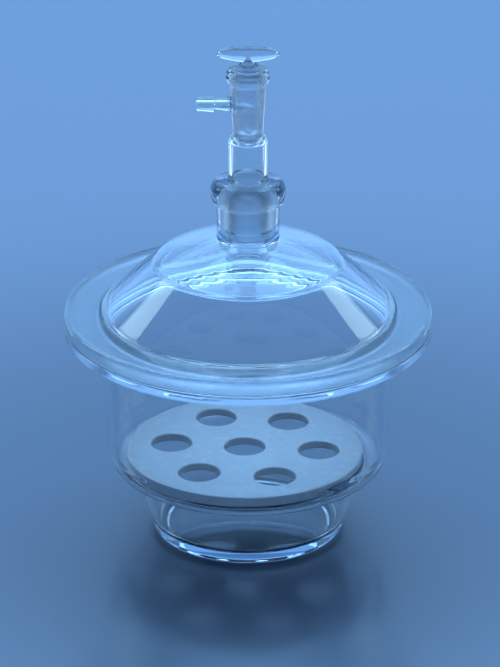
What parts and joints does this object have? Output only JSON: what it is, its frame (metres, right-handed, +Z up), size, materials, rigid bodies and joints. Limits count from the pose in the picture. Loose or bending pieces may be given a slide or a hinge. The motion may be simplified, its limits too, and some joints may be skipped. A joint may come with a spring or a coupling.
{
  "type": "glass desiccator",
  "caption": "Flanged glass bowl and domed lid with a vertical stopcock, holding a perforated porcelain plate to dry samples under vacuum.",
  "frame": {"origin": "centre of the foot, on the surface the bowl stands on", "axes": "+Z up along the bowl's axis; the hose connector points to -X and the T-handle lies along X"},
  "size_m": [0.215, 0.215, 0.3018],
  "materials": {
    "bowl_glass": "clear, ground flange face",
    "plate_porcelain": "white glaze",
    "lid_glass": "clear, ground flange face and socket",
    "stopcock_glass": "clear, ground cone and barrel",
    "key_glass": "clear handle, ground plug"
  },
  "bodies": {
    "bowl": {"bowl": "bowl_glass"},
    "plate": {"sieve_plate": "plate_porcelain"},
    "lid": {"lid": "lid_glass"},
    "stopcock": {"stopcock_body": "stopcock_glass"},
    "key": {"stopcock_key": "key_glass"}
  },
  "joints": [
    {"name": "lid_lift", "type": "slide", "parent": "bowl", "child": "lid", "axis": [0, 0, 1], "range_m": [0, 0.2]},
    {"name": "plate_lift", "type": "slide", "parent": "bowl", "child": "plate", "axis": [0, 0, 1], "range_m": [0, 0.09]},
    {"name": "stopcock_turn", "type": "hinge", "parent": "lid", "child": "stopcock", "pos_m": [0, 0, 0.2206], "axis": [0, 0, 1], "continuous": true},
    {"name": "key_turn", "type": "hinge", "parent": "stopcock", "child": "key", "pos_m": [0, 0, 0.2669], "axis": [0, 0, 1], "continuous": true}
  ]
}
